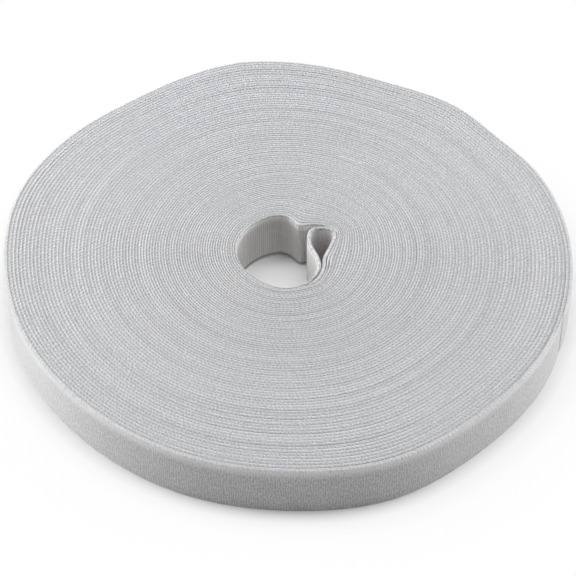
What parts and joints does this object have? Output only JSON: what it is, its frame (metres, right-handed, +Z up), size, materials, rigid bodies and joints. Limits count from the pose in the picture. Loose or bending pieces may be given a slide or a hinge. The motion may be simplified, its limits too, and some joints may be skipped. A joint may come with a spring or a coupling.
{
  "type": "roll of hook and loop cable tie tape",
  "caption": "Coreless roll of light grey double-sided hook and loop tape, its inner end folded into the hole, cut to length for cable ties.",
  "frame": {"origin": "centre of the roll's box, on the surface that it lies on", "axes": "+Z up along the winding axis, +X to the right in the picture, +Y away from the camera"},
  "size_m": [0.1894, 0.1878, 0.02],
  "materials": {
    "hook_and_loop_tape": "matt brushed nylon loops outside, moulded hooks inside, woven edges"
  },
  "bodies": {
    "root": {"tape_roll": "hook_and_loop_tape"}
  },
  "joints": []
}
